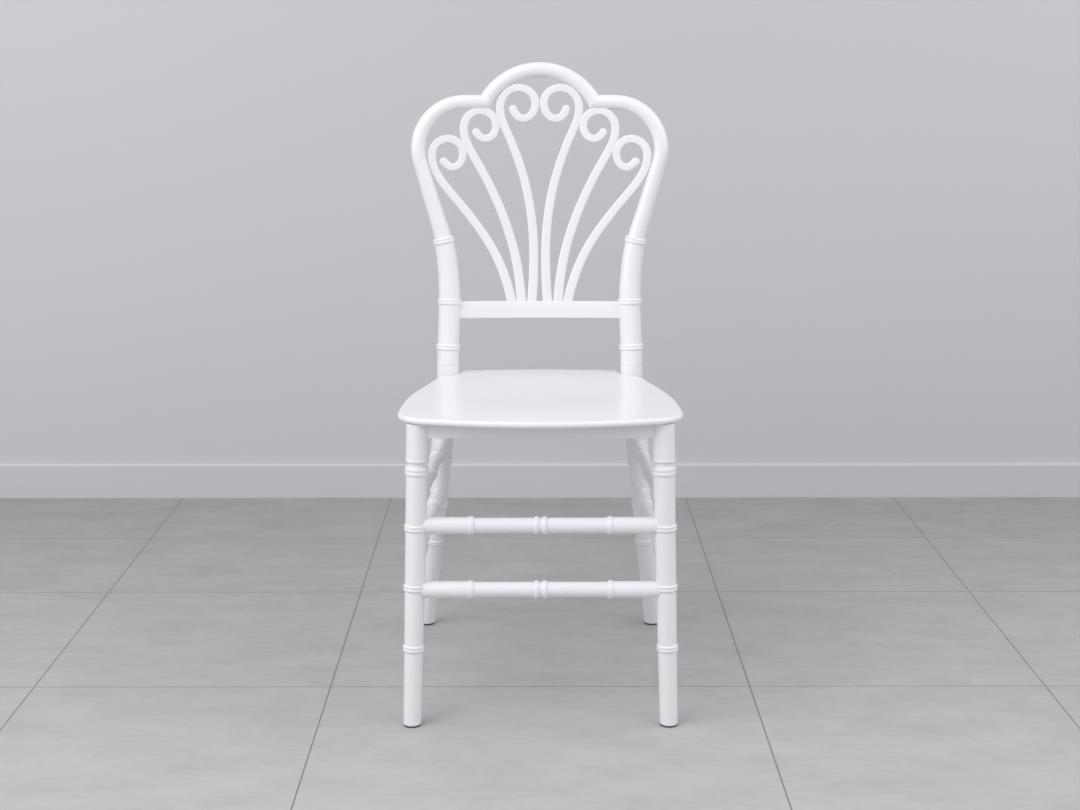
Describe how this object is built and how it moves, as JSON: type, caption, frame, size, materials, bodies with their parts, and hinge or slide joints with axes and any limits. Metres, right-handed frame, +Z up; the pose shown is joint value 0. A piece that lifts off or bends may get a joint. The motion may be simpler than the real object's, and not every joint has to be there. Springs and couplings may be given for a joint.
{
  "type": "banquet chair",
  "caption": "White resin banquet chair with turned bamboo style legs and stretchers, a thin dished seat panel and a hooped back filled with a fan of scrolls.",
  "frame": {"origin": "on the floor, at the middle of the chair's outer box", "axes": "+Z up, the sitter faces -Y, +X is the right hand side as seen in the picture"},
  "size_m": [0.4028, 0.5033, 0.9201],
  "materials": {
    "resin": "satin white moulded resin",
    "pad": "matt white pad"
  },
  "bodies": {
    "root": {"back_post_left": "resin", "back_post_right": "resin", "back_rail": "resin", "crown_arch": "resin", "foot_glides": "pad", "front_apron": "resin", "front_leg_left": "resin", "front_leg_right": "resin", "front_socket_left": "resin", "front_socket_right": "resin", "front_stretcher_lower": "resin", "front_stretcher_upper": "resin", "hoop_side_left": "resin", "hoop_side_right": "resin", "rear_apron": "resin", "rear_leg_left": "resin", "rear_leg_right": "resin", "rear_stretcher": "resin", "scroll_inner_left": "resin", "scroll_inner_right": "resin", "scroll_middle_left": "resin", "scroll_middle_right": "resin", "scroll_outer_left": "resin", "scroll_outer_right": "resin", "seat_panel": "resin", "side_apron_left": "resin", "side_apron_right": "resin", "side_stretcher_lower_left": "resin", "side_stretcher_lower_right": "resin", "side_stretcher_upper_left": "resin", "side_stretcher_upper_right": "resin"}
  },
  "joints": []
}
